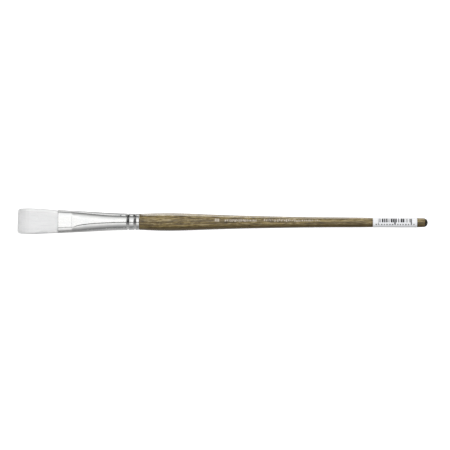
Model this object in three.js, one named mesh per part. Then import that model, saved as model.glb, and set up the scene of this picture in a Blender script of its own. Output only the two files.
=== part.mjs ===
// A long-handled flat artist's paint brush: a tuft of white synthetic filaments, a seamless
// nickel-plated ferrule pressed flat at the mouth and crimped twice at the back, and a turned and
// lacquered wooden handle that carries a small wrap-round price label near its tail.
//
// Millimetres. +X runs from the tip of the tuft to the tail of the handle, +Y across the width of
// the flat head, and +Z up out of its flat side. Pieces are drawn about the brush's axis with x = 0
// at the mouth of the ferrule. The exported group then puts the origin under the middle of the
// brush, on the surface that the fattest part of the handle rests on.
import * as THREE from "three";
import { LoftGeometry } from "three/addons/geometries/LoftGeometry.js";

// Driving dimensions.
const HAIR_OUT = 33.2; // length of filament that shows in front of the mouth
const FERRULE_LENGTH = 66.6;
const HANDLE_OUT = 236.6; // length of handle that shows behind the ferrule
const BELLY_RADIUS = 7.3; // the fattest part of the handle
const OVERALL_LENGTH = HAIR_OUT + FERRULE_LENGTH + HANDLE_OUT;

// Thicknesses, and the clear space kept between two pieces that meet.
const FERRULE_WALL = 0.4;
const GLUE_THICKNESS = 0.15;
const LABEL_THICKNESS = 0.12;
const GAP = 0.05;
const END_GAP = 0.3;

// Every section has this many facets. On a round section they touch the circle from outside, so the
// top, the bottom and both sides are flat and lie at the stated size.
const FACETS = 32;
const FACET_REACH = 1 / Math.cos(Math.PI / FACETS);

// Outside of the ferrule along x: width, thickness, the share of the width that is flat, and
// roundness from pressed (0) to oval (1). A parallel pressed land lies behind a slightly flared mouth
// and ends in a small die step. From there the flat narrows away as the tube swells and turns round.
const LAND_LENGTH = 11;
const LAND_THICKNESS = 6.8;
const LAND_FLAT = 0.68;
const DIE_STEP = 0.8; // length of the step at the end of the land
const ferruleOutline = outline([
  [0, 19.1, LAND_THICKNESS, LAND_FLAT, 0],
  [2.5, 18.8, LAND_THICKNESS, LAND_FLAT, 0],
  [6, 18.2, LAND_THICKNESS, LAND_FLAT, 0],
  [LAND_LENGTH, 17.74, LAND_THICKNESS, LAND_FLAT, 0],
  [LAND_LENGTH + DIE_STEP, 17.66, LAND_THICKNESS + 0.2, 0.6, 0.03],
  [15, 17.3, 7.75, 0.4, 0.2],
  [20, 16.85, 8.8, 0.26, 0.4],
  [27, 16.1, 10.45, 0.17, 0.6],
  [35, 15.3, 12.1, 0.1, 0.8],
  [43, 14.5, 13.3, 0.05, 0.95],
  [51, 14.0, 13.7, 0, 1],
  [FERRULE_LENGTH, 13.3, 13.3, 0, 1],
]);

// Half height of a section falls away beside the flat as (1 - aside ** fall) ** turn. The first
// number is for a pressed section, and the second for an oval.
const SIDE_FALL = [1.75, 2];
const SIDE_TURN = [0.72, 0.5];

// Two rolled grooves that bite into the tenon.
const CRIMPS = [
  { at: 57.5, span: 2.5, depth: 0.65 },
  { at: 63.2, span: 2.1, depth: 0.55 },
];
const CRIMP_EASE = 1.5;

// Width and thickness of the tuft, by distance out from the mouth.
const BEND_OUT = 3.3; // distance out to the line that the filaments bend about
const tuftOutline = outline([
  [BEND_OUT, 19.2, 6.0],
  [6, 19.5, 6.2],
  [10, 19.9, 6.3],
  [15, 20.45, 6.1],
  [21, 21.0, 5.4],
  [26.5, 21.0, 4.3],
  [30, 20.5, 3.3],
  [32.4, 19.8, 2.4],
  [HAIR_OUT, 19.3, 2.0],
]);

// Roots of the filaments inside the ferrule, with a waist where the thread ties them. The waist is
// level on both sides of TIE.at for TIE.level, then widens out over TIE.ramp.
const ROOT_DEPTH = 13.6;
const TIE = { at: 10.2, turns: 3, pitch: 0.55, diameter: 0.4, squeeze: 0.55, level: 1.4, ramp: 1.2 };
const THREAD_SIDES = 6;
const CEMENT_DEPTH = 7;

// The tenon starts with a short nose behind the cement, and is full size from TENON_FULL on.
const TENON_NOSE = 45.5;
const TENON_NOSE_RADIUS = 4.8;
const TENON_FULL = 54;
const SHOULDER_GAP = 0.15;

// Radius of the handle by distance behind the ferrule: a short neck, the belly, and a long taper.
const HANDLE_PROFILE = [
  [SHOULDER_GAP, 6.5],
  [8, 6.86],
  [21, BELLY_RADIUS],
  [36, 7.0],
  [55, 6.3],
  [80, 5.45],
  [108, 4.82],
  [140, 4.3],
  [180, 3.95],
  [226, 3.85],
  [HANDLE_OUT - 4.6, 3.78],
];
const TAIL_BLUNTNESS = 2.5; // 2 would make the dome of the tail an ellipse
const PROFILE_STEPS = 24;
const DOME_STEPS = 7;
const RADIUS_STEPS = 400;

// The label wraps round the handle and leaves a slit two facets wide along its underside.
const LABEL = { at: 191.5, length: 36.3, openFacets: 2 };

// A smooth curve through rows that each start with a place along x.
function outline(rows) {
  const values = rows.flatMap((row) => row.slice(1));
  return new THREE.CubicInterpolant(
    rows.map(([at]) => at),
    values,
    values.length / rows.length,
  );
}

// Evenly spaced numbers from first to last.
function spread(first, last, steps) {
  return Array.from({ length: steps + 1 }, (_, i) => first + ((last - first) * i) / steps);
}

// A cross-section at x. It runs anticlockwise seen from +X, so lofts along +X face outwards.
function section(x, width, thickness, flatShare = LAND_FLAT, roundness = 0) {
  const fall = THREE.MathUtils.lerp(...SIDE_FALL, roundness);
  const turn = THREE.MathUtils.lerp(...SIDE_TURN, roundness);
  return Array.from({ length: FACETS }, (_, i) => {
    const angle = ((i + 0.5) * 2 * Math.PI) / FACETS;
    const aside = Math.max(0, (Math.abs(Math.cos(angle)) - flatShare) / (1 - flatShare));
    const reach = THREE.MathUtils.lerp(1, FACET_REACH, roundness);
    const height = Math.sign(Math.sin(angle)) * reach * (1 - aside ** fall) ** turn;
    return new THREE.Vector3(x, (width / 2) * FACET_REACH * Math.cos(angle), (thickness / 2) * height);
  });
}

function crimpDepth(x) {
  return CRIMPS.reduce((sum, { at, span, depth }) => {
    const across = Math.abs(x - at) / (span / 2);
    return sum + depth * Math.max(0, 1 - across) ** CRIMP_EASE;
  }, 0);
}

// The ferrule's outline at x, taken in by inset on every side.
function ferruleSize(x, inset) {
  const [width, thickness, flatShare, roundness] = ferruleOutline.evaluate(x);
  const less = 2 * (inset + crimpDepth(x));
  return [
    width - less,
    thickness - less,
    THREE.MathUtils.clamp(flatShare, 0, 1),
    THREE.MathUtils.clamp(roundness, 0, 1),
  ];
}

function insideFerrule(x, inset) {
  return section(x, ...ferruleSize(x, inset));
}

// Stations along the crimped, round stretch of the ferrule from first to last.
function crimpedStations(first, last) {
  const grooves = CRIMPS.flatMap(({ at, span }) => spread(at - span / 2, at + span / 2, 6));
  return [first, ...grooves, last].filter((x) => x >= first && x <= last);
}

// A tube whose wall follows the ferrule between two insets, open at both ends.
function ferruleTube(stations, outerInset, innerInset) {
  const outer = stations.map((x) => insideFerrule(x, outerInset));
  const inner = stations.map((x) => insideFerrule(x, innerInset)).reverse();
  return new LoftGeometry([...outer, ...inner, outer[0]]);
}

function solidLoft(sections) {
  return new LoftGeometry(sections, { capStart: true, capEnd: true });
}

function ferrule() {
  const pressed = spread(0, LAND_LENGTH, 5);
  const dieEnd = LAND_LENGTH + DIE_STEP;
  const swell = spread(ROOT_DEPTH, TENON_FULL, 14);
  const round = crimpedStations(TENON_FULL + 1, FERRULE_LENGTH);
  return ferruleTube([...pressed, dieEnd, ...swell, ...round], 0, FERRULE_WALL);
}

// The tuft in front of the mouth. Its base is a half round about the line it bends about, so it
// clears the mouth at every angle.
function filamentTuft() {
  const stations = spread(HAIR_OUT, BEND_OUT, 12);
  const free = stations.map((out) => section(-out, ...tuftOutline.evaluate(out)));
  const [baseWidth, baseThickness] = tuftOutline.evaluate(BEND_OUT);
  const base = spread(0, Math.PI / 2, 6)
    .slice(1, -1)
    .map((angle) => {
      const thickness = baseThickness * Math.cos(angle);
      const x = -BEND_OUT + (baseThickness / 2) * Math.sin(angle);
      return section(x, baseWidth - baseThickness + thickness, thickness);
    });
  return solidLoft([...free, ...base]);
}

// The roots fill the ferrule, apart from a waist where the thread draws them in.
function filamentRoots() {
  const widened = TIE.level + TIE.ramp;
  const waist = [
    [0, 0],
    [TIE.at - widened, 0],
    [TIE.at - TIE.level, TIE.squeeze],
    [TIE.at + TIE.level, TIE.squeeze],
    [TIE.at + widened, 0],
    [ROOT_DEPTH, 0],
  ];
  return solidLoft(waist.map(([x, squeeze]) => insideFerrule(x, FERRULE_WALL + GAP + squeeze)));
}

// A thread wound round the waist of the roots, just inside the wall of the ferrule.
function tieThread() {
  const radius = TIE.diameter / 2;
  const size = ferruleSize(TIE.at + TIE.pitch, FERRULE_WALL + 2 * GAP + radius);
  const steps = TIE.turns * FACETS;
  const turn = section(0, ...size);
  const rings = spread(0, steps - 1, steps - 1).map((i) => {
    const x = TIE.at + (i / steps - 0.5) * TIE.turns * TIE.pitch;
    const angle = ((i + 0.5) * 2 * Math.PI) / FACETS;
    const outward = new THREE.Vector3(0, Math.cos(angle), Math.sin(angle));
    return spread(0, THREAD_SIDES - 1, THREAD_SIDES - 1).map((corner) => {
      const round = (corner * 2 * Math.PI) / THREAD_SIDES;
      const point = turn[i % FACETS].clone().addScaledVector(outward, radius * Math.sin(round));
      return point.setX(x + radius * Math.cos(round));
    });
  });
  return solidLoft(rings);
}

function rootCement() {
  const start = ROOT_DEPTH + END_GAP;
  const stations = spread(start, start + CEMENT_DEPTH, 3);
  return solidLoft(stations.map((x) => insideFerrule(x, FERRULE_WALL + GAP)));
}

function tenonGlue() {
  const stations = crimpedStations(TENON_FULL + 1, FERRULE_LENGTH - END_GAP);
  const outerInset = FERRULE_WALL + GAP;
  return ferruleTube(stations, outerInset, outerInset + GLUE_THICKNESS);
}

// The handle's radius at each station behind the ferrule, up to the tail's dome.
function handleCurve() {
  const points = HANDLE_PROFILE.map(([at, radius]) => new THREE.Vector2(radius, FERRULE_LENGTH + at));
  return new THREE.SplineCurve(points);
}

// The handle's radius near one place behind the ferrule.
function handleRadius(behind) {
  const points = handleCurve().getPoints(RADIUS_STEPS);
  return points.find(({ y }) => y >= FERRULE_LENGTH + behind).x;
}

// The tenon, the shoulder behind the ferrule, the turned outside and the domed tail in one solid.
function handle() {
  const tenonInset = FERRULE_WALL + 2 * GAP + GLUE_THICKNESS;
  const tenon = crimpedStations(TENON_FULL, FERRULE_LENGTH).map(
    (x) => new THREE.Vector2(ferruleSize(x, tenonInset)[1] / 2, x),
  );
  const outside = handleCurve().getPoints(PROFILE_STEPS);
  const domeStart = outside.at(-1);
  const tail = FERRULE_LENGTH + HANDLE_OUT;
  const dome = spread(0, Math.PI / 2, DOME_STEPS)
    .slice(1, -1)
    .map((angle) => {
      const radius = domeStart.x * Math.cos(angle) ** (2 / TAIL_BLUNTNESS);
      const along = Math.sin(angle) ** (2 / TAIL_BLUNTNESS);
      return new THREE.Vector2(radius, THREE.MathUtils.lerp(domeStart.y, tail, along));
    });
  const profile = [
    new THREE.Vector2(TENON_NOSE_RADIUS, TENON_NOSE),
    ...tenon,
    new THREE.Vector2(tenon.at(-1).x, FERRULE_LENGTH + SHOULDER_GAP),
    ...outside,
    ...dome,
  ].map((point) => new THREE.Vector2(point.x * FACET_REACH, point.y));
  const nose = new THREE.Vector2(0, TENON_NOSE);
  const end = new THREE.Vector2(0, tail);
  return new THREE.LatheGeometry([nose, ...profile, end], FACETS, Math.PI / FACETS).rotateZ(-Math.PI / 2);
}

// One end of the label: a thin open ring round the handle.
function labelSection(behind) {
  const inner = handleRadius(behind) + GAP;
  const covered = FACETS - LABEL.openFacets;
  const first = -Math.PI / 2 + (LABEL.openFacets * Math.PI) / FACETS;
  const arc = (radius) =>
    spread(0, covered, covered).map((i) => {
      const angle = first + (i * 2 * Math.PI) / FACETS;
      const reach = radius * FACET_REACH;
      return new THREE.Vector3(FERRULE_LENGTH + behind, reach * Math.cos(angle), reach * Math.sin(angle));
    });
  return [...arc(inner + LABEL_THICKNESS), ...arc(inner).reverse()];
}

function barcodeLabel() {
  return solidLoft(spread(LABEL.at, LABEL.at + LABEL.length, 4).map(labelSection));
}

function piece(name, geometry, color, roughness, metalness = 0) {
  const mesh = new THREE.Mesh(geometry, new THREE.MeshStandardMaterial({ color, roughness, metalness }));
  mesh.name = name;
  return mesh;
}

const brush = new THREE.Group();
brush.position.set(HAIR_OUT - OVERALL_LENGTH / 2, 0, BELLY_RADIUS);
brush.add(
  piece("filament_tuft", filamentTuft(), 0xe8e9e9, 0.55),
  piece("filament_roots", filamentRoots(), 0xe2e2e0, 0.6),
  piece("tie_thread", tieThread(), 0xd8d2c2, 0.8),
  piece("root_cement", rootCement(), 0xc9a25a, 0.3),
  piece("ferrule", ferrule(), 0xd9dbdb, 0.15, 1),
  piece("tenon_glue", tenonGlue(), 0xd8c9a0, 0.4),
  piece("handle", handle(), 0x7c6c4a, 0.45),
  piece("barcode_label", barcodeLabel(), 0xf2f3f5, 0.5),
);

export default brush;
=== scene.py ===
"""Looks for a long-handled flat artist's brush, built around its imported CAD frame.

Pieces are worked out in millimetres about the brush's axis, with x = 0 at the mouth of the ferrule,
+x towards the tail and +z out of the flat side. place() turns them into the frame's metres.
"""

import math
import random

import bpy
import numpy as np
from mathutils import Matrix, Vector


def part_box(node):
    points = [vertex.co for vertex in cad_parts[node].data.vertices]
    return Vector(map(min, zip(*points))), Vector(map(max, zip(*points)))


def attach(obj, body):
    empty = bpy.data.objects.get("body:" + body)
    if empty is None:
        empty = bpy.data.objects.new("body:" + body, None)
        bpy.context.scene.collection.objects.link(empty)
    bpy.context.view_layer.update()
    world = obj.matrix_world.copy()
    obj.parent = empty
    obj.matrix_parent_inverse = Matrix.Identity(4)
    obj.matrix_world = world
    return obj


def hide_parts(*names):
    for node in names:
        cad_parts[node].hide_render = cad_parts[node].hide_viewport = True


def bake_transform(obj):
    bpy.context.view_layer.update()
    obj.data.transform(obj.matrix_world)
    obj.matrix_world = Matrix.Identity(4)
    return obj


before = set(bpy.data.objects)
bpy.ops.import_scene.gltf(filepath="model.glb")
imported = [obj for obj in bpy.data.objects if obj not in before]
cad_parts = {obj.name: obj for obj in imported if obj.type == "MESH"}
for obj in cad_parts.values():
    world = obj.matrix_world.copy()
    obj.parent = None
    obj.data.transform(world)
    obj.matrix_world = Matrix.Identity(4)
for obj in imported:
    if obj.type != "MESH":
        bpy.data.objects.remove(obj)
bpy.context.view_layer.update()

MM = 0.001
MOUTH_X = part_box("ferrule")[0].x
AXIS_Z = (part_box("handle")[0].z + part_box("handle")[1].z) / 2
HAIR_OUT = (MOUTH_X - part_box("filament_tuft")[0].x) / MM
FERRULE_LENGTH = (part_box("ferrule")[1].x - MOUTH_X) / MM
TAIL = (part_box("handle")[1].x - MOUTH_X) / MM
ROOT_DEPTH = (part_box("filament_roots")[1].x - MOUTH_X) / MM

# The land that a die presses flat on the front of the ferrule, and the small step that ends it.
LAND_LENGTH = 11.0
LAND_THICKNESS = 6.8
LAND_FLAT = 0.68
DIE_STEP = 0.8

# A slight bevel along each side of the land: the shares of the half width that it runs between, how much
# of the half thickness it takes, and the length over which it fades ahead of the land and behind it.
BEVEL = (0.52, 0.72)
BEVEL_DROP = 0.1
BEVEL_FADE = 6

# Outside of the ferrule, by distance behind the mouth: width, thickness, the share of the width that is
# flat, and roundness from pressed (0) to oval (1).
FERRULE_WIDTH = [(0, 19.1), (2.5, 18.95), (6, 18.5), (11, 18.05), (20, 17.12), (27, 16.35), (35, 15.45),
                 (43, 14.55), (51, 14.0), (66.6, 13.3)]
FERRULE_THICKNESS = [(11.8, 7.0), (15, 7.75), (20, 8.8), (27, 10.45), (35, 12.1), (43, 13.3), (51, 13.7),
                     (66.6, 13.3)]
FERRULE_FLAT = [(11, 0.68), (11.8, 0.6), (15, 0.4), (20, 0.26), (27, 0.17), (35, 0.1), (43, 0.05), (51, 0),
                (68, 0)]
ROUNDNESS = [(11, 0), (11.8, 0.03), (15, 0.2), (20, 0.4), (27, 0.6), (35, 0.8), (43, 0.95), (51, 1),
             (68, 1)]

# Half height of a section falls away beside the flat as (1 - aside ** fall) ** turn, from pressed to oval.
SIDE_FALL = (1.75, 2.0)
SIDE_TURN = (0.72, 0.5)

# The metal rises a little beside each crimp, out to this share of the crimp's half span beyond it.
CRIMPS = [(57.5, 2.5, 0.65), (63.2, 2.1, 0.55)]  # place, span, depth
CRIMP_EASE = 1.5
SHOULDER_LIFT = 0.05
SHOULDER_REACH = 0.6

# The wall of the tube, and the rounded rim at each end, drawn out lengthways at the mouth.
WALL = 0.4
RIM = WALL / 2
RIM_LENGTH = 0.35

# Handle radius, by distance behind the ferrule, and the blunt dome that ends it.
HANDLE_PROFILE = [(0.15, 6.62), (4, 6.74), (8, 6.95), (21, 7.3), (36, 7.1), (55, 6.38), (80, 5.52),
                  (108, 4.88), (140, 4.34), (180, 4.04), (193, 3.9), (226, 3.86), (232, 3.78)]
TAIL_DOME = 4.6
TAIL_BLUNTNESS = 2.5

# The tenon inside the ferrule: a narrow nose, and from TENON_FULL on a close fit that follows the crimps.
TENON_NOSE = 45.5
TENON_NOSE_RADIUS = 4.8
TENON_FULL = 54
TENON_INSET = 0.65

# Painted shade along the -y side of the stock, the side the light leaves in shade: a darker band whose edge
# runs at this slope to the brush's axis, and which darkens between these two distances across.
SHADED_SIDE_SLANT = 0.021
SHADED_SIDE_EDGE = (-2.4, -4.2)

# Tuft width and thickness, by distance out from the mouth. Inside the ferrule they stay as at the mouth.
TUFT_WIDTH = [(0, 18.2), (1, 18.7), (3.3, 19.2), (6, 19.5), (10, 19.95), (15, 20.45), (21, 21.0),
              (26.5, 21.0), (30, 20.5), (32.4, 19.8), (33.6, 19.3)]
TUFT_THICKNESS = [(0, 5.85), (3.3, 6.0), (9, 6.3), (15, 6.1), (21, 5.4), (26.5, 4.3), (30, 3.3),
                  (32.4, 2.5), (33.3, 2.2)]
SPREAD = 0.48  # how much further the +y side of the tuft stands out
DRAWN_IN = 0.28  # how far the -y side is drawn in, halfway along it

# At the tip, the share of the half width where each corner starts to round off, and how far it falls back.
PLUS_CORNER = (0.88, 0.9)
MINUS_CORNER = (0.82, 2.5)

# Filaments: layers of them over the surface of the tuft, and shorter ones between that fill its tip.
FILAMENT_RADIUS = 0.075
FILAMENT_SIDES = 3
SURFACE_LAYERS = 3
SURFACE_COUNT = 330
SURFACE_START = -1.5
INNER_COUNT = 2100
INNER_START = 21.0
FILAMENT_WHITES = 11
# Painted light: the last stretch of each filament, this long, takes the lightest white.
PAINTED_LIGHT_END = 0.9  # the cut end of a filament scatters light over this length

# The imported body: how far it stays inside the outline of the tuft, the gap to the wall of the ferrule, and
# the waist where the thread binds it, with the distances either side over which that eases.
BODY_INSET = 0.34
BODY_GAP = 0.06
THREAD_AT = 10.2
THREAD_WAIST = 0.55
THREAD_REACH = (2.4, 1.3)


# Curves and meshes.


def curve(rows, x):
    """A smooth curve through rows of (x, value), read at each x."""
    xs, ys = np.array(rows, float).T
    slopes = np.gradient(ys, xs)
    x = np.clip(np.asarray(x, float), xs[0], xs[-1])
    i = np.clip(np.searchsorted(xs, x) - 1, 0, len(xs) - 2)
    step = xs[i + 1] - xs[i]
    t = (x - xs[i]) / step
    return (
        (2 * t**3 - 3 * t**2 + 1) * ys[i]
        + (t**3 - 2 * t**2 + t) * step * slopes[i]
        + (3 * t**2 - 2 * t**3) * ys[i + 1]
        + (t**3 - t**2) * step * slopes[i + 1]
    )


def ease(low, high, x):
    """0 at low and 1 at high, with a smooth start and end."""
    t = np.clip((x - low) / (high - low), 0, 1)
    return t * t * (3 - 2 * t)


def place(points):
    """Millimetres about the brush's axis to the frame's metres."""
    return np.asarray(points, float) * MM + (MOUTH_X, 0, AXIS_Z)


def mesh_object(name, points, faces, materials, smooth=True, slots=None):
    """A mesh from points in millimetres. Slots say which of the materials each face takes."""
    mesh = bpy.data.meshes.new(name)
    mesh.from_pydata(place(points).tolist(), [], faces)
    for material in materials:
        mesh.materials.append(material)
    if slots is not None:
        mesh.polygons.foreach_set("material_index", slots)
    mesh.polygons.foreach_set("use_smooth", [smooth] * len(mesh.polygons))
    mesh.update()
    piece = bpy.data.objects.new(name, mesh)
    bpy.context.scene.collection.objects.link(piece)
    return piece


def ring_faces(rings, around, closed_along=False):
    """Quads between rings of points that go anticlockwise seen from +x, for rings in order of +x."""
    faces = []
    for i in range(rings if closed_along else rings - 1):
        a = i * around
        b = (i + 1) % rings * around
        for j in range(around):
            k = (j + 1) % around
            faces.append((a + j, a + k, b + k, b + j))
    return faces


def cap(ring_start, around, facing_tail):
    """One face that closes a ring."""
    loop = range(ring_start, ring_start + around)
    return tuple(loop) if facing_tail else tuple(reversed(loop))


def side_height(share, flat=LAND_FLAT, roundness=0.0, bevelled=0.0):
    """Half height of a section at a share of its half width, as a share of its half thickness."""
    fall = SIDE_FALL[0] + (SIDE_FALL[1] - SIDE_FALL[0]) * roundness
    turn = SIDE_TURN[0] + (SIDE_TURN[1] - SIDE_TURN[0]) * roundness
    aside = np.clip((np.abs(share) - flat) / (1 - flat), 0, 1)
    taken = BEVEL_DROP * bevelled * np.clip((np.abs(share) - BEVEL[0]) / (BEVEL[1] - BEVEL[0]), 0, 1)
    return (1 - taken) * (1 - aside**fall) ** turn


def bevel_share(x):
    """How much of the bevel there is at x: all of it along the land, then less, ahead and behind."""
    ahead = ease(-1 - BEVEL_FADE, -1, x)
    behind = ease(LAND_LENGTH + BEVEL_FADE, LAND_LENGTH, x)
    return ahead * behind


def section(width, thickness, around, flat=LAND_FLAT, roundness=0.0, bevelled=0.0):
    """y and z at even steps round a cross-section."""
    angle = np.linspace(0, 2 * math.pi, 4 * 360 + 1)
    y = width / 2 * np.cos(angle)
    z = thickness / 2 * np.sign(np.sin(angle)) * side_height(np.cos(angle), flat, roundness, bevelled)
    walked = np.concatenate([[0], np.cumsum(np.hypot(np.diff(y), np.diff(z)))])
    even = np.linspace(0, walked[-1], around, endpoint=False)
    return np.interp(even, walked, y), np.interp(even, walked, z)


def ferrule_section(x, width, thickness, around):
    """A cross-section of the ferrule's own shape at x."""
    flat, roundness = (float(curve(rows, x)) for rows in (FERRULE_FLAT, ROUNDNESS))
    y, z = section(width, thickness, around, flat, roundness, float(bevel_share(x)))
    return np.stack([np.full(around, float(x)), y, z], axis=1)


def srgb(red, green, blue):
    """An 8-bit screen colour as Blender's linear one."""
    shares = [level / 255 for level in (red, green, blue)]
    linear = [c / 12.92 if c <= 0.04 else ((c + 0.055) / 1.055) ** 2.4 for c in shares]
    return (*linear, 1)


# Node helpers.


def add(tree, kind, inputs=None, **settings):
    """A node with its settings, and its inputs set to a value or linked to a socket."""
    node = tree.nodes.new(kind)
    for name, value in settings.items():
        setattr(node, name, value)
    for key, value in (inputs or {}).items():
        if isinstance(value, bpy.types.NodeSocket):
            tree.links.new(value, node.inputs[key])
        else:
            node.inputs[key].default_value = value
    return node


def principled(name, **sockets):
    """A material, its node tree and its shader, with these sockets set. A _ in a name is a space."""
    material = bpy.data.materials.new(name)
    material.use_nodes = True
    shader = material.node_tree.nodes["Principled BSDF"]
    for key, value in sockets.items():
        shader.inputs[key.replace("_", " ")].default_value = value
    return material, material.node_tree, shader


def stretched_noise(tree, across, along, detail=2.0, roughness=0.5, offset=(0, 0, 0)):
    """Noise with so many waves per millimetre across the brush and along it."""
    where = add(tree, "ShaderNodeTexCoord").outputs["Object"]
    scale = (along / MM, across / MM, across / MM)
    mapped = add(tree, "ShaderNodeMapping", {"Vector": where, "Scale": scale, "Location": offset})
    return add(
        tree,
        "ShaderNodeTexNoise",
        {"Vector": mapped.outputs[0], "Scale": 1.0, "Detail": detail, "Roughness": roughness},
    ).outputs[0]


def remap(tree, value, low, high, to_low=0.0, to_high=1.0):
    """A value carried from one span to another, and held at its ends."""
    return add(
        tree,
        "ShaderNodeMapRange",
        {"Value": value, "From Min": low, "From Max": high, "To Min": to_low, "To Max": to_high},
    ).outputs[0]


def mix(tree, factor, a, b):
    """Colour a at factor 0 and colour b at factor 1."""
    node = tree.nodes.new("ShaderNodeMix")
    node.data_type = "RGBA"
    for socket, value in ((node.inputs[0], factor), (node.inputs[6], a), (node.inputs[7], b)):
        if isinstance(value, bpy.types.NodeSocket):
            tree.links.new(value, socket)
        else:
            socket.default_value = value
    return node.outputs[2]


def math_node(tree, operation, *values):
    """The result of one sum on values or sockets."""
    node = tree.nodes.new("ShaderNodeMath")
    node.operation = operation
    for socket, value in zip(node.inputs, values):
        if isinstance(value, bpy.types.NodeSocket):
            tree.links.new(value, socket)
        else:
            socket.default_value = value
    return node.outputs[0]


# Materials.


def wood_material():
    """Open-grained hardwood, stained grey-brown, under a satin lacquer.

    Its tone goes from the broadest noise to the finest: growth rings, streaks, fibres and dark pores.
    Painted shade then darkens the -y side and the end of the tail.
    """
    material, tree, shader = principled(
        "lacquered_wood", Specular_IOR_Level=0.15, Coat_Weight=1.0, Coat_Roughness=0.1, Coat_IOR=1.5
    )
    where = add(tree, "ShaderNodeSeparateXYZ", {0: add(tree, "ShaderNodeTexCoord").outputs["Object"]})
    wander = stretched_noise(tree, 0.14, 0.012)
    rings = math_node(tree, "MULTIPLY", where.outputs["Y"], 0.4 / MM)
    rings = math_node(tree, "ADD", rings, math_node(tree, "MULTIPLY", where.outputs["Z"], 0.16 / MM))
    rings = math_node(tree, "ADD", rings, math_node(tree, "MULTIPLY", wander, 6.0))
    early = remap(tree, math_node(tree, "PINGPONG", rings, 0.5), 0.02, 0.3, 1.0, 0.0)
    broad = stretched_noise(tree, 0.45, 0.025, offset=(3, 7, 1))
    streak = stretched_noise(tree, 1.0, 0.19, detail=4, roughness=0.7, offset=(9, 2, 5))
    fibre = stretched_noise(tree, 4.0, 0.3, roughness=0.6, offset=(5, 6, 2))
    tone = mix(tree, remap(tree, broad, 0.35, 0.65), srgb(100, 82, 32), srgb(146, 126, 73))
    tone = mix(tree, remap(tree, streak, 0.48, 0.39, 0, 0.9), tone, srgb(56, 39, 11))
    tone = mix(tree, remap(tree, streak, 0.52, 0.63, 0, 0.9), tone, srgb(166, 151, 114))
    tone = mix(tree, math_node(tree, "MULTIPLY", early, 0.75), tone, srgb(64, 48, 18))
    tone = mix(tree, remap(tree, fibre, 0.35, 0.7, 0.0, 0.3), tone, srgb(136, 121, 86))
    # Painted shade: the wood goes darker along its -y side, the side the light leaves in shade.
    slanted = math_node(tree, "MULTIPLY", where.outputs["X"], SHADED_SIDE_SLANT)
    slanted = math_node(tree, "SUBTRACT", where.outputs["Y"], slanted)
    painted_side_shade = remap(tree, slanted, *(edge * MM for edge in SHADED_SIDE_EDGE), 0.0, 0.78)
    tone = mix(tree, painted_side_shade, tone, srgb(70, 54, 16))
    pores = remap(tree, stretched_noise(tree, 2.2, 0.16, detail=1, offset=(1, 8, 3)), 0.6, 0.66)
    pores = math_node(tree, "MULTIPLY", pores, remap(tree, early, 0.0, 1.0, 0.4, 1.0))
    tone = mix(tree, math_node(tree, "MULTIPLY", pores, 0.95), tone, srgb(34, 22, 6))
    # The last few millimetres of the tail go near black: painted shade for the rounded end turned away from
    # the light, over its darker end grain.
    tail_end = MOUTH_X + TAIL * MM
    end_grain_and_painted_shade = remap(tree, where.outputs["X"], tail_end - 2.55 * MM, tail_end - 2.2 * MM)
    tone = mix(tree, end_grain_and_painted_shade, tone, srgb(12, 8, 2))
    tree.links.new(tone, shader.inputs["Base Color"])
    tree.links.new(remap(tree, fibre, 0.3, 0.7, 0.4, 0.55), shader.inputs["Roughness"])
    relief = math_node(tree, "SUBTRACT", math_node(tree, "MULTIPLY", fibre, 0.25), pores)
    bump = add(tree, "ShaderNodeBump", {"Height": relief, "Strength": 0.35, "Distance": 0.06 * MM})
    tree.links.new(bump.outputs[0], shader.inputs["Normal"])
    return material


def nickel_material():
    """Bright nickel plate, with the fine lines that drawing the tube leaves along it."""
    material, tree, shader = principled("nickel_plate", Metallic=1.0)
    cloud = stretched_noise(tree, 0.25, 0.12, detail=2)
    drawn = stretched_noise(tree, 7, 0.05, detail=2, offset=(2, 1, 6))
    tone = mix(tree, remap(tree, cloud, 0.3, 0.7), srgb(225, 226, 226), srgb(236, 236, 234))
    tree.links.new(tone, shader.inputs["Base Color"])
    hazy = remap(tree, cloud, 0.3, 0.7, 0.06, 0.1)
    lined = remap(tree, drawn, 0.4, 0.8, 0, 0.08)
    tree.links.new(math_node(tree, "ADD", hazy, lined), shader.inputs["Roughness"])
    bump = add(tree, "ShaderNodeBump", {"Height": drawn, "Strength": 0.12, "Distance": 0.01 * MM})
    tree.links.new(bump.outputs[0], shader.inputs["Normal"])
    return material


def filament_materials():
    """Close whites, from lightest to greyest, that a filament goes through along its length; the greys carry
    painted shade.
    """
    lightest, step = 254, 3
    whites = []
    for i in range(FILAMENT_WHITES):
        level = lightest - step * i
        white = srgb(level, level, level)
        made = principled(f"filament_white_{i}", Base_Color=white, Roughness=0.42, Specular_IOR_Level=0.3)
        whites.append(made[0])
    return whites


def packed_filament_material():
    """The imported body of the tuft: fine lengthwise shadows between the filaments."""
    material, tree, shader = principled("packed_filament", Specular_IOR_Level=0.2)
    fine = stretched_noise(tree, 5, 0.05, detail=3, offset=(4, 1, 9))
    tone = mix(tree, remap(tree, fine, 0.3, 0.7), srgb(222, 223, 224), srgb(246, 247, 247))
    tree.links.new(tone, shader.inputs["Base Color"])
    tree.links.new(remap(tree, fine, 0.3, 0.7, 0.6, 0.45), shader.inputs["Roughness"])
    bump = add(tree, "ShaderNodeBump", {"Height": fine, "Strength": 0.5, "Distance": 0.1 * MM})
    tree.links.new(bump.outputs[0], shader.inputs["Normal"])
    return material


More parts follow.
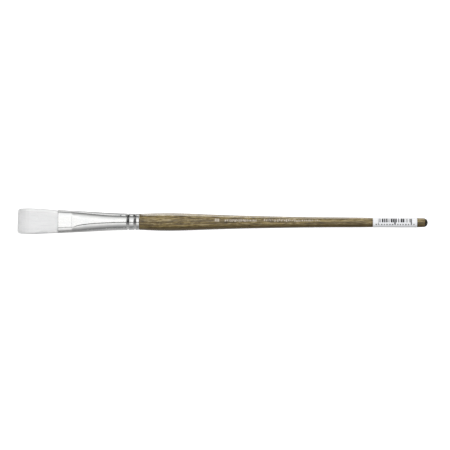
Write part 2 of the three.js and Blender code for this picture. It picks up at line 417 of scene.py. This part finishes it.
def paper_material():
    """White label paper with a faint sheen and the mottle of its fibres."""
    material, tree, shader = principled("label_paper", Coat_Weight=0.15, Coat_Roughness=0.25)
    fibre = stretched_noise(tree, 1.5, 1.5, detail=4)
    tone = mix(tree, remap(tree, fibre, 0.3, 0.7), srgb(226, 227, 230), srgb(234, 235, 237))
    tree.links.new(tone, shader.inputs["Base Color"])
    tree.links.new(remap(tree, fibre, 0.3, 0.7, 0.4, 0.5), shader.inputs["Roughness"])
    bump = add(tree, "ShaderNodeBump", {"Height": fibre, "Strength": 0.1, "Distance": 0.02 * MM})
    tree.links.new(bump.outputs[0], shader.inputs["Normal"])
    return material


def speckled_material(name, dark, light, rough_low, rough_high, across=1.0, along=1.0, **sockets):
    """A colour that wavers between two close tones, with a roughness that follows it."""
    material, tree, shader = principled(name, **sockets)
    cloud = stretched_noise(tree, across, along, detail=3)
    tree.links.new(mix(tree, remap(tree, cloud, 0.3, 0.7), dark, light), shader.inputs["Base Color"])
    tree.links.new(remap(tree, cloud, 0.3, 0.7, rough_low, rough_high), shader.inputs["Roughness"])
    return material


# Ferrule.


def ferrule_size(x, inset):
    """Width and thickness of the ferrule at x, crimps and all, so far inside its outer face."""
    width = float(curve(FERRULE_WIDTH, x))
    if x < LAND_LENGTH:
        thickness = LAND_THICKNESS
    elif x < LAND_LENGTH + DIE_STEP:
        step = FERRULE_THICKNESS[0][1] - LAND_THICKNESS
        thickness = LAND_THICKNESS + step * float(ease(LAND_LENGTH, LAND_LENGTH + DIE_STEP, x))
    else:
        thickness = float(curve(FERRULE_THICKNESS, x))
    taken = inset
    for at, span, depth in CRIMPS:
        across = abs(x - at) / (span / 2)
        if across < 1:
            taken += depth * (1 - across) ** CRIMP_EASE
        elif across < 1 + SHOULDER_REACH:
            taken -= SHOULDER_LIFT * math.sin(math.pi * (across - 1) / SHOULDER_REACH) ** 2
    return width - 2 * taken, thickness - 2 * taken


def ferrule_ring(x, inset, around):
    """The ferrule's own cross-section at x, so far inside its outer face."""
    return ferrule_section(x, *ferrule_size(x, inset), around)


def build_ferrule(material):
    """Rings along the outside, over the rim at the tail, back inside and over the rim at the mouth."""
    around = 160
    outer_x = np.concatenate([
        np.linspace(RIM_LENGTH, LAND_LENGTH - 0.2, 26),
        np.linspace(LAND_LENGTH, LAND_LENGTH + DIE_STEP, 9),
        np.linspace(LAND_LENGTH + 1.2, 55, 60),
        np.linspace(55.2, FERRULE_LENGTH - RIM, 110),
    ])
    inner_x = np.concatenate([np.linspace(FERRULE_LENGTH - RIM, 55, 40), np.linspace(54, RIM_LENGTH, 40)])
    rim_angles = np.linspace(0, math.pi, 13)[1:-1]
    rings = [ferrule_ring(x, 0, around) for x in outer_x]
    for angle in rim_angles:
        x = FERRULE_LENGTH - RIM
        ring = ferrule_ring(x, RIM * (1 - math.cos(angle)), around)
        ring[:, 0] += RIM * math.sin(angle)
        rings.append(ring)
    rings += [ferrule_ring(x, WALL, around) for x in inner_x]
    for angle in rim_angles:
        ring = ferrule_ring(RIM_LENGTH, RIM * (1 + math.cos(angle)), around)
        ring[:, 0] -= RIM_LENGTH * math.sin(angle)
        rings.append(ring)
    faces = ring_faces(len(rings), around, closed_along=True)
    piece = mesh_object("nickel_ferrule", np.concatenate(rings), faces, [material])
    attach(piece, "brush")
    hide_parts("ferrule")


# Handle.


def handle_radius(behind):
    """The radius of the bare wood, by distance behind the ferrule."""
    dome_start = TAIL - FERRULE_LENGTH - TAIL_DOME
    behind = np.asarray(behind, float)
    last = HANDLE_PROFILE[-1][1]
    down = np.clip((behind - dome_start) / TAIL_DOME, 0, 1)
    dome = last * (1 - down**TAIL_BLUNTNESS) ** (1 / TAIL_BLUNTNESS)
    return np.where(behind < dome_start, curve(HANDLE_PROFILE, behind), dome)


def build_handle(material):
    """A turned profile of (x, radius): nose, crimped tenon, shoulder, wood, dome."""
    around = 128
    profile = [(TENON_NOSE, 0.0)]
    profile.append((TENON_NOSE, TENON_NOSE_RADIUS - 0.5))
    profile.append((TENON_NOSE + 0.4, TENON_NOSE_RADIUS))
    for x in np.linspace(TENON_FULL, FERRULE_LENGTH, 54):
        profile.append((x, ferrule_size(x, TENON_INSET)[1] / 2))
    shoulder = FERRULE_LENGTH + HANDLE_PROFILE[0][0]
    neck = profile[-1][1]
    profile.append((shoulder, neck))
    corner = 0.25
    edge = float(handle_radius(HANDLE_PROFILE[0][0] + corner))
    for angle in np.linspace(0, math.pi / 2, 5):
        profile.append((shoulder + corner * (1 - math.cos(angle)), edge - corner * (1 - math.sin(angle))))
    for behind in np.linspace(1, TAIL - FERRULE_LENGTH - TAIL_DOME, 260):
        profile.append((FERRULE_LENGTH + behind, float(handle_radius(behind))))
    for angle in np.linspace(0, math.pi / 2, 26)[1:-1]:
        behind = TAIL - FERRULE_LENGTH - TAIL_DOME * (1 - math.sin(angle) ** (2 / TAIL_BLUNTNESS))
        profile.append((FERRULE_LENGTH + behind, float(handle_radius(behind))))
    profile.append((TAIL, 0.0))
    turn = np.arange(around) * 2 * math.pi / around
    rings = [
        np.stack([np.full(around, x), radius * np.cos(turn), radius * np.sin(turn)], axis=1)
        for x, radius in profile[1:-1]
    ]
    points = np.concatenate([*rings, [(TENON_NOSE, 0, 0)], [(TAIL, 0, 0)]])
    faces = ring_faces(len(rings), around)
    nose, tail = len(points) - 2, len(points) - 1
    last = (len(rings) - 1) * around
    for j in range(around):
        k = (j + 1) % around
        faces.append((nose, k, j))
        faces.append((tail, last + j, last + k))
    piece = mesh_object("turned_handle", points, faces, [material])
    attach(piece, "brush")
    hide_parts("handle")


# Tuft.


def tuft_size(out):
    """Width and thickness of the tuft at distances out."""
    return curve(TUFT_WIDTH, out), curve(TUFT_THICKNESS, out)


def strand_path(out, u, v, sway, phase):
    """Points of one filament at distances out, for its place (u, v) in the section."""
    width, thickness = tuft_size(out)
    wave = sway * np.sin(out * 0.35 + phase) * ease(0, 12, out)
    spread = SPREAD * max(u, 0) * ease(0, 12, out)
    drawn_in = DRAWN_IN * max(-u, 0) * ease(5, 10, out) * ease(25, 15, out)
    y = u * (width / 2 - FILAMENT_RADIUS) + wave + spread + drawn_in
    height = side_height(u, bevelled=bevel_share(-out))
    z = v * height * (thickness / 2 - FILAMENT_RADIUS) + wave * 0.6
    return np.stack([-out, y, z], axis=1)


def tube(path, radii, turn, first):
    """A thin tapered tube along a path that runs towards -x."""
    angles = turn + np.arange(FILAMENT_SIDES) * 2 * math.pi / FILAMENT_SIDES
    round_y, round_z = np.cos(angles), np.sin(angles)
    points = np.repeat(path, FILAMENT_SIDES, axis=0)
    points[:, 1] += np.outer(radii, round_y).ravel()
    points[:, 2] += np.outer(radii, round_z).ravel()
    faces = []
    for i in range(len(path) - 1):
        a = first + i * FILAMENT_SIDES
        b = a + FILAMENT_SIDES
        for j in range(FILAMENT_SIDES):
            k = (j + 1) % FILAMENT_SIDES
            faces.append((a + j, b + j, b + k, a + k))
    faces.append(tuple(range(first, first + FILAMENT_SIDES)))
    last = first + (len(path) - 1) * FILAMENT_SIDES
    faces.append(tuple(range(last + FILAMENT_SIDES - 1, last - 1, -1)))
    return points, faces


def tip_reach(u, v, draw):
    """How far out a filament at (u, v) ends: a little shorter at +y, and rounded off at the corners."""
    begins, falls = PLUS_CORNER if u > 0 else MINUS_CORNER
    corner = falls * np.clip((abs(u) - begins) / (1 - begins), 0, 1) ** 2
    slant = 0.25 * (1 + u)
    return HAIR_OUT + 0.3 - slant - corner - 0.2 * abs(v) - abs(draw.gauss(0, 0.08))


def greyness(out, strand, u):
    """Which white a stretch of filament takes: painted shade greys it at the tip and at +y, and painted
    light makes it lighter at -y.
    """
    tip = 6 * float(ease(20, 32, out))
    side = 5 * float(ease(0.8, 0.93, u)) - 2 * float(ease(0.75, 0.93, -u))
    return min(FILAMENT_WHITES - 1, max(0, round(strand + tip + side)))


def build_filaments(materials):
    """Every filament, spaced unevenly round the surface or set at random between, as one mesh."""
    draw = random.Random(7)
    around = 4000
    around_y, around_z = section(2, 2, around)
    strands = []
    for layer in range(SURFACE_LAYERS):
        for i in range(SURFACE_COUNT):
            k = int((i + draw.random()) / SURFACE_COUNT * around)
            u = float(np.clip(around_y[k], -0.998, 0.998))
            v = float(np.clip(around_z[k] / max(float(side_height(u)), 0.05), -1, 1))
            strands.append((u * (1 - layer * 0.012), v * (1 - layer * 0.045), SURFACE_START))
    for i in range(INNER_COUNT):
        strands.append((draw.uniform(-0.985, 0.985), draw.uniform(-0.86, 0.86), INNER_START))
    points, faces, slots = [], [], []
    first = 0
    for u, v, start in strands:
        end = tip_reach(u, v, draw)
        steps = 12 if start < 0 else 5
        body_end = end - PAINTED_LIGHT_END
        out = np.append(start + (body_end - start) * np.linspace(0, 1, steps) ** 0.9, end)
        path = strand_path(out, u, v, draw.gauss(0, 0.035), draw.uniform(0, 6.3))
        stray = draw.gauss(0, 0.06) if draw.random() > 0.03 else draw.gauss(0, 0.3)
        loose = ease(16, 33, out)
        path[:, 1] += stray * loose
        path[:, 2] += draw.gauss(0, 0.05) * loose
        radii = FILAMENT_RADIUS * (1 - 0.45 * ease(end - 5, end, out))
        more, quads = tube(path, radii, draw.uniform(0, 2), first)
        points.append(more)
        faces += quads
        shade = draw.uniform(-0.4, 2.4)
        whites = [greyness((out[i] + out[i + 1]) / 2, shade, u) for i in range(steps - 1)]
        # painted light on the cut end
        whites.append(0)  # the bright cut end takes the lightest white
        for white in whites:
            slots += [white] * FILAMENT_SIDES
        slots += [whites[0], whites[-1]]
        first += len(more)
    piece = mesh_object("filaments", np.concatenate(points), faces, materials, slots=slots)
    bend_with_tuft(piece)
    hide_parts("filament_tuft")


def build_core(material):
    """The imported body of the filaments, from the cement inside the ferrule to short of the tip."""
    around = 120
    stops = np.concatenate([np.linspace(-ROOT_DEPTH, 0, 20), np.linspace(1, HAIR_OUT - 1.0, 44)])
    rings = []
    for out in stops[::-1]:
        if out <= 0:
            waist = THREAD_WAIST * float(ease(*THREAD_REACH, abs(-out - THREAD_AT)))
            width, thickness = ferrule_size(-out, WALL + BODY_GAP + waist)
        else:
            width, thickness = (float(size) - BODY_INSET for size in tuft_size(out))
        rings.append(ferrule_section(-out, width, thickness, around))
    faces = ring_faces(len(rings), around)
    faces.append(cap(0, around, facing_tail=False))
    faces.append(cap((len(rings) - 1) * around, around, facing_tail=True))
    piece = mesh_object("filament_body", np.concatenate(rings), faces, [material])
    bend_with_tuft(piece)
    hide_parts("filament_roots")


def build_cement(material):
    """The set epoxy behind the filaments, level with their ends and crept up the wall behind."""
    around = 96
    start, end = ROOT_DEPTH + 0.3, ROOT_DEPTH + 7.3
    rings = [ferrule_ring(x, WALL + 0.05, around) for x in np.linspace(start, end, 16)]
    back, dish = rings[-1], 1.1
    for share in (0.92, 0.75, 0.5, 0.25):
        dished = back.copy()
        dished[:, 1:] *= share
        dished[:, 0] -= dish * (1 - share**2)
        rings.append(dished)
    faces = ring_faces(len(rings), around)
    faces.append(cap(0, around, facing_tail=False))
    faces.append(cap((len(rings) - 1) * around, around, facing_tail=True))
    piece = mesh_object("epoxy_plug", np.concatenate(rings), faces, [material])
    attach(piece, "brush")
    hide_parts("root_cement")


def bend_with_tuft(piece):
    """Bakes the piece's placement into its mesh."""
    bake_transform(piece)


# Label and stamped marks, which are thin slabs that follow the handle.


FINEST_TURN = math.radians(3)
LABEL_START = FERRULE_LENGTH + 191.5
LABEL_END = LABEL_START + 36.3
LABEL_HALF_WRAP = math.radians(171)
BARS_START = LABEL_START + 4.3
BARS_END = BARS_START + 27.6
BAR_MODULE = 0.27

# Underside and top of each layer, over the bare wood.
PAPER = (0.03, 0.13)
INK = (0.125, 0.14)
FOIL = (0.004, 0.016)


def slab(x0, x1, angle0, angle1, low, high, first, steps_x=2, lift=None):
    """A closed slab on the handle between two places and two angles (from +z towards +y)."""
    steps_a = max(2, math.ceil((angle1 - angle0) / FINEST_TURN))
    xs = np.linspace(x0, x1, steps_x + 1)
    angles = np.linspace(angle0, angle1, steps_a + 1)
    points, faces = [], []
    for height in (low, high):
        for x in xs:
            radius = float(handle_radius(x - FERRULE_LENGTH)) + height
            for angle in angles:
                rise = lift(x, angle) if lift else 0
                points.append((x, (radius + rise) * math.sin(angle), (radius + rise) * math.cos(angle)))
    row = steps_a + 1
    layer = row * (steps_x + 1)
    for i in range(steps_x):
        for j in range(steps_a):
            a = first + i * row + j
            faces.append((a, a + 1, a + row + 1, a + row))
            b = a + layer
            faces.append((b, b + row, b + row + 1, b + 1))
    for i in range(steps_x):
        a = first + i * row
        faces.append((a, a + row, a + layer + row, a + layer))
        a += steps_a
        faces.append((a, a + layer, a + layer + row, a + row))
    for j in range(steps_a):
        a = first + j
        faces.append((a, a + layer, a + layer + 1, a + 1))
        a += steps_x * row
        faces.append((a, a + 1, a + layer + 1, a + layer))
    return points, faces


def slabs_object(name, material, parts, smooth=False):
    """One piece from several slabs, each the first six values that slab() takes and any settings."""
    points, faces = [], []
    for part in parts:
        more, quads = slab(*part[:6], len(points), **(part[6] if len(part) > 6 else {}))
        points += more
        faces += quads
    piece = mesh_object(name, points, faces, [material], smooth=smooth)
    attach(piece, "brush")
    return piece


def label_lift(x, angle):
    """The free edges stand off the wood a little, and most at one corner of each."""
    edge = float(ease(0.86, 1.0, abs(angle) / LABEL_HALF_WRAP))
    reach = (LABEL_END - 9, LABEL_END) if angle > 0 else (LABEL_START + 6, LABEL_START)
    return edge * (0.03 + 0.22 * float(ease(*reach, x)))


def build_label(material):
    shape = {"steps_x": 40, "lift": label_lift}
    parts = [(LABEL_START, LABEL_END, -LABEL_HALF_WRAP, LABEL_HALF_WRAP, *PAPER, shape)]
    piece = slabs_object("price_label", material, parts, smooth=True)
    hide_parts("barcode_label")


def build_label_print(material):
    """Plain bars and dashes: no code and no digits."""
    draw = random.Random(21)
    parts = []
    x = BARS_START
    guards = (BARS_START, BARS_END - 3 * BAR_MODULE, (BARS_START + BARS_END) / 2 - 1.5 * BAR_MODULE)
    while x < BARS_END - BAR_MODULE:
        dense = math.sin((x - LABEL_START) * 0.85) > -0.25
        width = BAR_MODULE * draw.choice((3, 4, 5, 5) if dense else (1, 1, 2, 3))
        is_guard = any(abs(x - guard) < 0.8 for guard in guards)
        low = math.radians(-23 if is_guard else 2)
        parts.append((x, min(x + width, BARS_END), low, math.radians(52), *INK))
        x += width + BAR_MODULE * draw.choice((1, 1, 1, 2) if dense else (2, 3, 4))
    for i in range(15):
        at = LABEL_START + 2.4 + i * 2.2 + draw.uniform(-0.15, 0.15)
        parts.append((at, at + draw.uniform(0.6, 1.0), math.radians(-31), math.radians(-16), *INK))
    slabs_object("label_bars", material, parts)


def build_marks(material):
    """Plain stamped dashes in place of the maker's words and the size number."""
    draw = random.Random(5)
    parts = []
    x = FERRULE_LENGTH + 62.0
    for i in range(3):
        parts.append((x, x + 1.0, math.radians(4), math.radians(28), *FOIL))
        x += 1.3
    rows = ((70.1, 22, 3, 26, 5), (102.3, 35, 5, 34, 12))  # start, count, low and high degrees, raggedness
    for start, count, low, high, ragged in rows:
        x = FERRULE_LENGTH + start
        for i in range(count):
            length = draw.choice((0.5, 0.8, 1.1))
            bottom = low + ragged * draw.choice((0, 0.5, 1))
            top = high - ragged * draw.choice((0, 0.5, 1))
            parts.append((x, x + length, math.radians(bottom), math.radians(top), *FOIL))
            x += length + draw.choice((0.35, 0.5, 0.7))
    slabs_object("stamped_dashes", material, parts)


# Stage.


def build_floor():
    """A pale floor that reaches well past the view."""
    size = 4.0
    mesh = bpy.data.meshes.new("floor")
    corners = [(-size, -size, 0), (size, -size, 0), (size, size, 0), (-size, size, 0)]
    mesh.from_pydata(corners, [], [(0, 1, 2, 3)])
    floor = bpy.data.objects.new("floor", mesh)
    bpy.context.scene.collection.objects.link(floor)
    mesh.materials.append(principled(
        "pale_floor", Base_Color=(0.86, 0.86, 0.86, 1), Roughness=0.9, Emission_Color=(1, 1, 1, 1),
        Emission_Strength=0.7,
    )[0])


# Brightness of the studio by how far a direction leans from straight up: below 0 towards -y. The first
# three are what shining surfaces mirror: over the brush, behind it towards the tail, and past both ends.
MIRRORED_STUDIO = [(-90, 0.23), (-73, 0.25), (-58, 0.42), (-44, 0.6), (-32, 0.86), (-20, 1.0),
                   (-12.5, 1.15), (-11, 0.03), (-2.7, 0.03), (-1.3, 1.3), (13, 1.3), (25, 1.2), (37, 1.1),
                   (50, 0.9), (64, 0.5), (74, 0.3), (82, 0.25), (90, 0.3)]
MIRRORED_TAILWARD = [(-90, 0.29), (-75, 0.29), (-62, 0.36), (-46, 0.46), (-31, 0.3), (-20, 0.1), (-10, 0.1),
                     (2, 0.3), (18, 0.6), (34, 0.85), (50, 0.75), (60, 0.6), (73, 0.24), (82, 0.1),
                     (90, 0.1)]
MIRRORED_ENDS = [(-90, 0.5), (-60, 0.3), (-40, 0.2), (-20, 0.12), (-8, 0.02), (48, 0.02), (60, 0.1),
                 (75, 0.2), (90, 0.3)]
DIFFUSE_STUDIO = [(-90, 0.16), (-60, 0.18), (-30, 0.48), (-12, 1.6), (0, 1.9), (25, 1.7), (50, 0.95),
                  (70, 0.5), (90, 0.35)]

# Where one gives way to the next, in degrees from straight up: below 0 towards the tip.
TIP_END = (-32, -16.5)
TAILWARD = (12, 18)
TAIL_END = (44, 26)

# Brightness of the floor by distance across in mm, as light for the brush and as its mirror image.
FLOOR_LIGHT = [(-80, 0.2), (-24, 0.28), (-12, 0.38), (12, 0.42), (22, 0.45), (45, 0.45), (80, 0.4)]
FLOOR_MIRRORED = [(-80, 0.29), (-24, 0.48), (-12, 0.58), (12, 0.42), (22, 0.56), (45, 0.95), (80, 1.15)]

# The bright strip of floor on the +y side that the lacquer of the handle mirrors: its brightness by
# distance across, two opposite corners, the x of the far corner at its front end, and its warm tint. Its
# front end is brighter by a gain that dies away over a length. Places are in the frame's millimetres.
HANDLE_GLINT = [(8, 0.4), (15, 1.7), (25, 3.05), (38, 3.95), (74, 5.7), (180, 6.3)]
GLINT_LOW = (-67.4, 9)
GLINT_HIGH = (185, 250)
GLINT_FAR_X = -70.8
GLINT_TINT = (1, 0.985, 0.93)
GLINT_FRONT_GAIN = 1.5
FRONT_GAIN_LENGTH = 60

# The flags at the strip's end and ahead of the crimps: x beside the brush and x at the far end. Each stands
# a little askew, along the light that the metal or the lacquer beside it mirrors.
FLAGS = ((-67.6, -71.0), (-83, -88))
FLAG_NEAR_Y = 7.3
FLAG_FAR_Y = 250
FLAG_BOTTOM = 0.2
FLAG_TOP = 13.5


def grey_ramp(tree, value, stops):
    """Grey levels by stops of (place, level), read with a value that runs from 0 to 1 over their span."""
    node = add(tree, "ShaderNodeValToRGB", {0: value})
    elements = node.color_ramp.elements
    while len(elements) < len(stops):
        elements.new(0.5)
    first, last = stops[0][0], stops[-1][0]
    for element, (at, level) in zip(elements, stops):
        element.position = (at - first) / (last - first)
        element.color = (level, level, level, 1)
    return node.outputs[0]


def build_world():
    """A soft overhead light that leans to +y, and white to the camera.

    Shining surfaces see it as a long box over the brush, dimmer towards the tail, with dark ends.
    """
    world = bpy.data.worlds.new("studio")
    bpy.context.scene.world = world
    world.use_nodes = True
    tree = world.node_tree
    tree.nodes.clear()
    way = add(tree, "ShaderNodeSeparateXYZ", {0: add(tree, "ShaderNodeTexCoord").outputs["Generated"]})
    lean = math_node(tree, "ARCTAN2", way.outputs["Y"], way.outputs["Z"])
    lean = remap(tree, lean, math.radians(-90), math.radians(90))
    tip_end, tailward, tail_end = (
        remap(tree, way.outputs["X"], *(math.sin(math.radians(degrees)) for degrees in span))
        for span in (TIP_END, TAILWARD, TAIL_END)
    )
    inside = math_node(tree, "MULTIPLY", tip_end, tail_end)
    over_brush = grey_ramp(tree, lean, MIRRORED_STUDIO)
    box = mix(tree, tailward, over_brush, grey_ramp(tree, lean, MIRRORED_TAILWARD))
    mirrored = mix(tree, inside, grey_ramp(tree, lean, MIRRORED_ENDS), box)
    ray = add(tree, "ShaderNodeLightPath")
    seen = mix(tree, ray.outputs["Is Glossy Ray"], grey_ramp(tree, lean, DIFFUSE_STUDIO), mirrored)
    seen = mix(tree, ray.outputs["Is Camera Ray"], seen, (1, 1, 1, 1))
    glow = add(tree, "ShaderNodeBackground", {"Color": seen, "Strength": 1.0})
    output = add(tree, "ShaderNodeOutputWorld")
    tree.links.new(glow.outputs[0], output.inputs["Surface"])


def build_floor_card(
    name, levels, height, low=(-800, -800), high=(800, 800), far_x=-800, tint=(1, 1, 1), front_gain=1.0
):
    """A shaded card just over the floor, clear from underneath and to the camera, so the floor stays pale.

    Its brightness goes by distance across. The gain at its front end dies away over FRONT_GAIN_LENGTH.
    """
    mesh = bpy.data.meshes.new(name)
    flat = [(low[0], low[1]), (high[0], low[1]), (high[0], high[1]), (far_x, high[1])]
    mesh.from_pydata([(x * MM, y * MM, height * MM) for x, y in flat], [], [(0, 1, 2, 3)])
    card = bpy.data.objects.new(name, mesh)
    bpy.context.scene.collection.objects.link(card)
    material = bpy.data.materials.new(name)
    material.use_nodes = True
    tree = material.node_tree
    tree.nodes.clear()
    where = add(tree, "ShaderNodeSeparateXYZ", {0: add(tree, "ShaderNodeTexCoord").outputs["Object"]})
    across = remap(tree, where.outputs["Y"], levels[0][0] * MM, levels[-1][0] * MM)
    front = low[0] * MM
    peak = max(level for at, level in levels)
    shade = grey_ramp(tree, across, [(at, level / peak) for at, level in levels])
    tinted = mix(tree, shade, (0, 0, 0, 1), (*tint, 1))
    gained = (front, front + FRONT_GAIN_LENGTH * MM, peak * front_gain, peak)
    strength = remap(tree, where.outputs["X"], *gained)
    glow = add(tree, "ShaderNodeEmission", {"Color": tinted, "Strength": strength})
    clear = add(tree, "ShaderNodeBsdfTransparent")
    side = add(tree, "ShaderNodeNewGeometry").outputs["Backfacing"]
    both = add(tree, "ShaderNodeMixShader", {0: side, 1: glow.outputs[0], 2: clear.outputs[0]})
    output = add(tree, "ShaderNodeOutputMaterial")
    tree.links.new(both.outputs[0], output.inputs["Surface"])
    mesh.materials.append(material)
    card.visible_camera = False
    card.visible_shadow = False
    card.visible_transmission = False
    return card


def build_flag(x, far_x):
    """A thin upright black card that keeps the bright floor beside the handle out of the ferrule."""
    mesh = bpy.data.meshes.new("flag")
    near, far = (x, FLAG_NEAR_Y), (far_x, FLAG_FAR_Y)
    corners = [(*near, FLAG_BOTTOM), (*far, FLAG_BOTTOM), (*far, FLAG_TOP), (*near, FLAG_TOP)]
    mesh.from_pydata([tuple(c * MM for c in corner) for corner in corners], [], [(0, 1, 2, 3)])
    flag = bpy.data.objects.new("flag", mesh)
    bpy.context.scene.collection.objects.link(flag)
    mesh.materials.append(principled("flag_black", Base_Color=(0.01, 0.01, 0.01, 1), Roughness=1.0)[0])
    flag.visible_camera = False
    flag.visible_diffuse = False
    flag.visible_shadow = False
    flag.visible_transmission = False


def build_camera():
    """Straight down on the flat side, with the tuft to the left."""
    lens, sensor = 300, 36
    across = 0.369
    over = (0.00195, -0.0024)
    roll = math.radians(0.16)
    camera = bpy.data.objects.new("camera", bpy.data.cameras.new("camera"))
    camera.data.lens = lens
    camera.data.sensor_width = sensor
    camera.location = (*over, AXIS_Z + across * lens / sensor)
    camera.rotation_euler = (0, 0, roll)
    bpy.context.scene.collection.objects.link(camera)
    bpy.context.scene.camera = camera


build_camera()
build_world()
build_floor()
build_floor_card("floor_light", FLOOR_LIGHT, 1.0).visible_glossy = False
build_floor_card("floor_mirrored", FLOOR_MIRRORED, 1.1).visible_diffuse = False
glint = build_floor_card(
    "handle_glint", HANDLE_GLINT, 1.2, GLINT_LOW, GLINT_HIGH, GLINT_FAR_X, GLINT_TINT, GLINT_FRONT_GAIN
)
glint.visible_diffuse = False
for near_x, far_x in FLAGS:
    build_flag(near_x, far_x)

build_handle(wood_material())
build_ferrule(nickel_material())
build_core(packed_filament_material())
build_filaments(filament_materials())
build_label(paper_material())
build_label_print(speckled_material("label_ink", srgb(14, 14, 18), srgb(30, 30, 34), 0.4, 0.6))
build_marks(speckled_material("stamped_foil", srgb(158, 147, 134), srgb(200, 190, 174), 0.3, 0.45))

build_cement(speckled_material("epoxy", srgb(196, 150, 80), srgb(214, 172, 104), 0.15, 0.3))

# These two keep their CAD shapes.
thread = speckled_material("waxed_thread", srgb(208, 200, 182), srgb(226, 220, 204), 0.6, 0.8, 4, 4)
glue = speckled_material("set_glue", srgb(205, 190, 150), srgb(222, 208, 172), 0.3, 0.45)
node_materials = {"tie_thread": thread, "tenon_glue": glue}
for node, material in node_materials.items():
    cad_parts[node].data.materials.clear()
    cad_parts[node].data.materials.append(material)

bpy.context.scene.view_settings.view_transform = "Standard"
